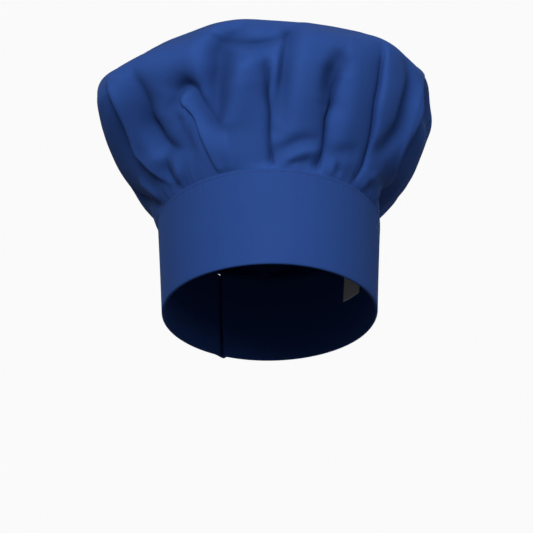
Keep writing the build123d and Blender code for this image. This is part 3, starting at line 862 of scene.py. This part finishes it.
def slab(name, ts, low, high, r_out, r_in, rows=8, face=None, end=None):
    """A flat thickness of material bent round the band: its outer face, its inner face and its rim."""
    ts = np.asarray(ts, float)
    n = len(ts)
    k = np.linspace(0, 1, rows)
    Z = low[None, :] + (high - low)[None, :] * k[:, None]
    TT = np.broadcast_to(ts[None, :], Z.shape)
    bump = face(TT, Z) if face else 0.0
    lift = end(TT, Z) if end else 0.0
    A = on_band(TT, Z, r_out + bump + lift)
    B = on_band(TT, Z, r_in + lift)
    V = np.concatenate([A.reshape(-1, 3), B.reshape(-1, 3)])
    uv = np.stack([arc_of(TT), Z], -1).reshape(-1, 2)
    off = rows * n
    F = grid_faces(rows, n) + grid_faces(rows, n, at=off, flip=True)
    ring = [c for c in range(n)] + [r * n + n - 1 for r in range(1, rows)] + \
           [(rows - 1) * n + c for c in range(n - 2, -1, -1)] + [r * n for r in range(rows - 2, 0, -1)]
    for p, q in zip(ring, ring[1:] + ring[:1]):
        F.append((q, p, p + off, q + off))
    return new_mesh(name, V, F, np.concatenate([uv, uv]))


core_t = np.linspace(T_SEAM + 0.012, T_RIGHT - 0.012, 260)
core = slab("band_interlining", core_t, 1.2 + 0 * core_t, 63.5 + 0 * core_t, jog(core_t) - PLY - AIR, jog(core_t) - PLY - AIR - STIFF)
dress(core, FELT, "hat", "stiffener", "band_stiffener")


def stitch_row(name, points, normals, pitch=3.1, length=2.5, radius=0.19):
    """Stitches along a line of points on the cloth, evenly spaced."""
    P = np.asarray(points)
    d = np.concatenate([[0], np.cumsum(np.linalg.norm(np.diff(P, axis=0), axis=1))])
    at = np.arange(0.3, d[-1] - length, pitch)
    def sample(u, A):
        return np.stack([np.interp(u, d, A[:, c]) for c in range(3)], -1)
    p, q, n = sample(at, P), sample(at + length, P), unit(sample(at + length / 2, np.asarray(normals)))
    return strands(name, list(zip(p, q, n)), radius)


st = np.linspace(T_SEAM + 0.02, T_RIGHT - 0.02, 2400)
sp = on_band(st, STITCH_Z + 0 * st, jog(st) + band_face(st, STITCH_Z + 0 * st) + 0.05)
top_row = stitch_row("top_stitches", sp, band_normal(st))
dress(top_row, THREAD, "hat", "thread", "top_stitching")

seam_rows = []
for _k, _x in enumerate((SEAM_X - 1.6, SEAM_X + 1.5)):
    _t = back_angle(_x)
    zz = np.linspace(1.5, BAND_H - 1.5, 160)
    tt = np.full_like(zz, _t)
    row = stitch_row("join_stitches_%d" % (_k + 1), on_band(tt, zz, float(jog(_t)) + 0.10 + (band_face(tt, zz) if _k == 0 else 0.0)),
                     band_normal(tt), 2.7, 2.1, 0.17)
    dress(row, THREAD, "hat", "thread")

# ================================================================== the closure tab
def tab_edges(t):
    """The tab's lower and upper edge: as tall as the band at its root, then narrower, round at its tip."""
    x = A_MID * np.sin(t)
    k = smooth01((x + 37.5) / 7.5)
    c = np.clip(x - (TIP_X - TAB_R), 0, TAB_R)
    d = TAB_R - np.sqrt(np.maximum(TAB_R**2 - c**2, 0.0))
    return TAB_Z0 * k + d, BAND_H - (BAND_H - TAB_Z1) * k - d


def tab_angles():
    xs = np.concatenate([np.arange(SEAM_X, -29.0, 0.45), np.arange(-29.0, TIP_X - TAB_R, 1.1),
                         TIP_X - TAB_R + TAB_R * np.sin(np.linspace(0, math.pi / 2 * 0.985, 14))])
    # the same way round as the band, from the seam at the left across the back to the tip
    return np.array([-math.pi - math.asin(x / A_MID) for x in xs])


def tab_face_wave(t, z):
    u = arc_of(t)
    return 0.15 * np.sin(u / 17.0) * np.sin(z / 23.0 + 1.0) + 0.10 * np.sin(u / 7.0 + z / 15.0)


tab_t = tab_angles()[::-1]
tab = folded_strip("closure_tab_cloth", tab_t, *tab_edges(tab_t), jog(tab_t), tab_face_wave)
dress(tab, TWILL, None, "twill", "tab_outer", "tab_lining")


def tab_angle(x):
    return -math.pi - np.arcsin(np.asarray(x) / A_MID)


def rounded_path(x0, x1, z0, z1, r):
    """Round a strip's edge: along its lower edge, round the tip, back along its upper edge and down its root."""
    a = np.linspace(-math.pi / 2, 0, 12)
    b = np.linspace(0, math.pi / 2, 12)
    pts = [(x0, z0)] + [(x1 - r + r * math.cos(v), z0 + r + r * math.sin(v)) for v in a] + \
          [(x1 - r + r * math.cos(v), z1 - r + r * math.sin(v)) for v in b] + [(x0, z1), (x0, z0)]
    pts = np.array(pts)
    d = np.concatenate([[0], np.cumsum(np.linalg.norm(np.diff(pts, axis=0), axis=1))])
    u = np.linspace(0, d[-1], 900)
    return np.stack([np.interp(u, d, pts[:, 0]), np.interp(u, d, pts[:, 1])], -1)


edge = rounded_path(-27.5, TIP_X - 3.0, TAB_Z0 + 3.0, TAB_Z1 - 3.0, TAB_R - 3.0)
et = tab_angle(edge[:, 0])
tab_row = stitch_row("tab_stitches", on_band(et, edge[:, 1], TAB_FACE + tab_face_wave(et, edge[:, 1]) + 0.05), band_normal(et), 2.9, 2.3, 0.18)
dress(tab_row, THREAD, "closure_tab", "thread", "tab_stitching")
dress_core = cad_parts["tab_stiffener"]
dress_core.data.materials.clear()
dress_core.data.materials.append(FELT)


# ------------------------------------------------------------------ hook tape and loop tape
def tape_edges(xs, mid, half=TAPE_H / 2, r=1.5):
    c = np.clip(np.maximum(TAPE_X0 + r - xs, xs - (TAPE_X1 - r)), 0, r)
    d = r - np.sqrt(np.maximum(r * r - c * c, 0))
    return mid - half + d, mid + half - d


def tape_xs(step):
    ends = 1.5 * np.sin(np.linspace(0, math.pi / 2 * 0.97, 6))
    return np.concatenate([TAPE_X0 + 1.5 - ends[::-1], np.arange(TAPE_X0 + 1.5 + step, TAPE_X1 - 1.5 - step / 2, step), TAPE_X1 - 1.5 + ends])


def curls(name, at, r0, height, out, rng, lean=0.55, thick=0.09, loop=False):
    """Nylon hooks or loops standing on a tape. at holds (x, z); r0 is the tape's face and out is +1 or -1."""
    V, F = [], []
    for x, z in at:
        t = float(tab_angle(x))
        n = band_normal(np.array([t]))[0] * out
        base = on_band(np.array([t]), np.array([z]), np.array([r0]))[0]
        a = rng.uniform(0, 2 * math.pi) if loop else rng.choice([0.0, math.pi]) + rng.uniform(-0.25, 0.25)
        side = np.cross(n, (0, 0, 1.0)) * math.cos(a) + np.array((0, 0, 1.0)) * math.sin(a)
        side = side - n * (side @ n)
        side /= np.linalg.norm(side)
        if loop:
            line = [(-lean, -0.05), (-lean * 1.1, 0.5), (-lean * 0.5, 0.95), (lean * 0.5, 1.0), (lean * 1.1, 0.5), (lean, -0.05)]
        else:
            line = [(0, -0.08), (0.02, 0.6), (0.18, 0.92), (0.42, 0.98), (0.60, 0.74), (0.60, 0.55)]
        pts = [base + side * (u * (1.0 if loop else 0.75)) + n * (v * height) for u, v in line]
        k0 = len(V)
        across = np.cross(n, side)
        for i, p in enumerate(pts):
            tan = pts[min(i + 1, len(pts) - 1)] - pts[max(i - 1, 0)]
            tan = tan / np.linalg.norm(tan)
            o = np.cross(tan, across)
            w = thick * (0.75 if i in (0, len(pts) - 1) else 1.0)
            V += [p + across * w, p + o * w, p - across * w, p - o * w]
        for i in range(len(pts) - 1):
            for c in range(4):
                d = (c + 1) % 4
                F.append((k0 + 4 * i + c, k0 + 4 * i + d, k0 + 4 * i + 4 + d, k0 + 4 * i + 4 + c))
        F.append((k0, k0 + 3, k0 + 2, k0 + 1))
        e = k0 + 4 * (len(pts) - 1)
        F.append((e, e + 1, e + 2, e + 3))
    return new_mesh(name, np.array(V), F)


def weave(t, z):
    return 0.05 * np.sin(arc_of(t) * 2 * math.pi / 1.4) * np.sin(z * 2 * math.pi / 1.2)


_rh = np.random.default_rng(17)
for level, mid in TAPE_Z.items():
    xs = tape_xs(0.8)
    lo, hi = tape_edges(xs, mid)
    t = tab_angle(xs)[::-1]
    hook = slab("hook_tape_" + level, t, lo[::-1], hi[::-1], 0.42, 0.05, rows=22, face=weave)
    dress(hook, HOOKS, "hat", "hook_tape", "hook_strip_" + level)
    gx = np.arange(TAPE_X0 + 1.8, TAPE_X1 - 1.4, 1.75)
    gz = np.arange(mid - TAPE_H / 2 + 1.9, mid + TAPE_H / 2 - 1.5, 1.45)
    at = [(x + 0.4 * (i % 2), z) for i, z in enumerate(gz) for x in gx]
    hooks = curls("hooks_" + level, at, 0.42, 0.72, 1.0, _rh)
    dress(hooks, HOOKS, "hat", "hook_tape")
    loop = slab("loop_tape_" + level, t, lo[::-1], hi[::-1], TAB_IN - AIR, 2.12, rows=22)
    dress(loop, LOOPS, "closure_tab", "loop_tape", "loop_strip_" + level)
    at = [(_rh.uniform(TAPE_X0 + 1.0, TAPE_X1 - 1.0), _rh.uniform(mid - TAPE_H / 2 + 0.9, mid + TAPE_H / 2 - 0.9)) for _ in range(1500)]
    loops = curls("loops_" + level, at, 2.12, 0.52, -1.0, _rh, lean=0.42, thick=0.06, loop=True)
    dress(loops, LOOPS, "closure_tab", "loop_tape")
    # each tape is sewn on all round
    path = rounded_path(TAPE_X0 + 0.9, TAPE_X1 - 0.9, mid - TAPE_H / 2 + 0.9, mid + TAPE_H / 2 - 0.9, 0.8)
    pt = tab_angle(path[:, 0])
    row = stitch_row("hook_stitches_" + level, on_band(pt, path[:, 1], 0.47 + 0 * pt), band_normal(pt), 2.6, 2.0, 0.15)
    dress(row, THREAD, "hat", "thread")
    row = stitch_row("loop_stitches_" + level, on_band(pt, path[:, 1], 2.05 + 0 * pt), -band_normal(pt), 2.6, 2.0, 0.15)
    dress(row, THREAD, "closure_tab", "thread")

# ------------------------------------------------------------------ blank care label inside the band
lt = np.radians(np.linspace(119.0, 133.0, 26))


def label_lift(t, z):
    free = np.clip((62 - z) / 24.0, 0, 1)
    return -0.9 * free**2 * (0.75 + 0.25 * np.sin((t - lt[0]) * 30)) - 0.05


label = slab("care_label", lt, 38.5 + 0 * lt, 69.5 + 0 * lt, -STACK - AIR, -STACK - AIR - 0.35, rows=30, end=label_lift)
label.name = "label_blank"
dress(label, SATIN, "hat", "label", "care_label")
ls = np.radians(np.linspace(119.6, 132.4, 120))
row = stitch_row("label_stitches", on_band(ls, 68.3 + 0 * ls, -STACK - AIR - 0.46 + 0 * ls), -band_normal(ls), 2.2, 1.7, 0.14)
dress(row, THREAD, "hat", "thread")

# ------------------------------------------------------------------ binding on the crown's free edge
bt = np.concatenate([np.linspace(back_angle(VENT_X - 0.6), math.pi, 60), np.linspace(-math.pi, back_angle(-VENT_X + 0.6), 60)[1:]])
bl = vent_low(bt)
sect = [(f * BINDING_H, 0.62) for f in np.linspace(0.0, 0.93, 9)] + [(BINDING_H, 0.50), (BINDING_H * 1.01, 0.22), (BINDING_H * 0.985, 0.04)] + \
       [(BINDING_H * 0.5, 0.03), (0.15, 0.03), (-0.12, -0.3), (0.15, -0.73), (BINDING_H * 0.5, -0.73), (BINDING_H * 0.985, -0.74)] + \
       [(BINDING_H * 1.01, -0.95), (BINDING_H, -1.22)] + [(f * BINDING_H, -1.33) for f in np.linspace(0.93, 0.0, 7)] + \
       [(-0.45, -1.05), (-0.62, -0.36), (-0.42, 0.33)]
rowsB, uvB = [], []
for ds, off in sect:
    pts, nn = crown_points(bt, np.maximum(bl + ds, 0.02), bl)
    if ds < 0:
        pts = pts + np.array([0, 0, ds])
    rowsB.append(pts + nn * (off + 0.04))
    uvB.append(np.stack([arc_of(np.where(bt < 0, bt + 2 * math.pi, bt)), np.full(len(bt), ds)], -1))
mB, nB = len(rowsB), len(bt)
fB = grid_faces(mB, nB, closed_rows=True)
fB.append(tuple(i * nB for i in range(mB)))
fB.append(tuple(i * nB + nB - 1 for i in range(mB))[::-1])
binding = new_mesh("edge_binding", np.concatenate(rowsB), fB, np.concatenate(uvB))
dress(binding, TWILL, "hat", "twill", "crown_vent_binding")
pv, nv = crown_points(bt, bl + BINDING_H - 1.1, bl)
vent_row = stitch_row("binding_stitches", pv + nv * 0.70, nv, 2.9, 2.3, 0.18)
dress(vent_row, THREAD, "hat", "thread", "vent_stitching")

# ================================================================== floor, light, camera
def area(name, at, look, size, power, gloss=False, colour=(1, 1, 1), size_y=None):
    d = bpy.data.lights.new(name, "AREA")
    d.energy = power
    d.color = colour
    d.shape = "RECTANGLE"
    d.size, d.size_y = size, size_y or size
    o = bpy.data.objects.new(name, d)
    o.location = at
    o.rotation_euler = (Vector(look) - Vector(at)).to_track_quat("-Z", "Y").to_euler()
    bpy.context.scene.collection.objects.link(o)
    o.visible_glossy = gloss
    return o


area("key", (-0.50, -1.95, 0.42), (0, 0, 0.11), 0.7, 26, True)
area("front", (0.10, -1.95, 0.42), (0, 0, 0.08), 0.6, 14, True)
area("fill_right", (1.8, -0.9, 0.2), (0, 0, 0.1), 1.2, 8.5)
area("fill_left", (-1.8, -0.3, 0.3), (0, 0, 0.1), 1.2, 2.0)
area("back", (0.3, 2.1, 0.9), (0, 0, 0.1), 1.2, 24)
area("top", (0.0, 0.3, 2.1), (0, 0, 0.2), 1.5, 12)

floor_mat = plain_material("floor_white", (0.93, 0.93, 0.93), 0.8, 6.0, 0.01, 0.02, 0.001)
fl_n = 24
fx = np.linspace(-40000, 40000, fl_n)
fv = np.array([(x, y, -760.0) for y in fx for x in fx])
floor = new_mesh("floor", fv, grid_faces(fl_n, fl_n))
floor_bsdf = floor_mat.node_tree.nodes["Principled BSDF"]
floor_bsdf.inputs["Emission Color"].default_value = (1, 1, 1, 1)
floor_bsdf.inputs["Emission Strength"].default_value = 0.84
floor.data.materials.append(floor_mat)
floor.visible_diffuse = False
floor.visible_glossy = False

world = bpy.data.worlds.new("studio")
bpy.context.scene.world = world
world.use_nodes = True
wn, wl = world.node_tree.nodes, world.node_tree.links
wn.clear()
wo = wn.new("ShaderNodeOutputWorld")
seen, lit, path, wm = (wn.new("ShaderNodeBackground"), wn.new("ShaderNodeBackground"), wn.new("ShaderNodeLightPath"),
                       wn.new("ShaderNodeMixShader"))
seen.inputs["Color"].default_value = (0.955, 0.955, 0.955, 1)
lit.inputs["Color"].default_value = (1, 1, 1, 1)
lit.inputs["Strength"].default_value = 0.11
wl.new(path.outputs["Is Camera Ray"], wm.inputs["Fac"])
wl.new(lit.outputs[0], wm.inputs[1])
wl.new(seen.outputs[0], wm.inputs[2])
wl.new(wm.outputs[0], wo.inputs["Surface"])

cam = bpy.data.cameras.new("camera")
cam.lens, cam.sensor_width = 122.35, 36.0
cam.clip_start, cam.clip_end = 0.05, 30
camera = bpy.data.objects.new("camera", cam)
camera.location = (-0.0022, -1.2814, -0.5230)
look = Vector((0, 0.9153, 0.4028)).to_track_quat("-Z", "Y")
camera.rotation_mode = "QUATERNION"
camera.rotation_quaternion = look @ Quaternion((0, 0, 1), math.radians(-0.467))
bpy.context.scene.collection.objects.link(camera)
bpy.context.scene.camera = camera
bpy.context.scene.view_settings.view_transform = "Standard"
bpy.context.scene.view_settings.look = "None"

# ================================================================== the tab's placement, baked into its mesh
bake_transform(tab)
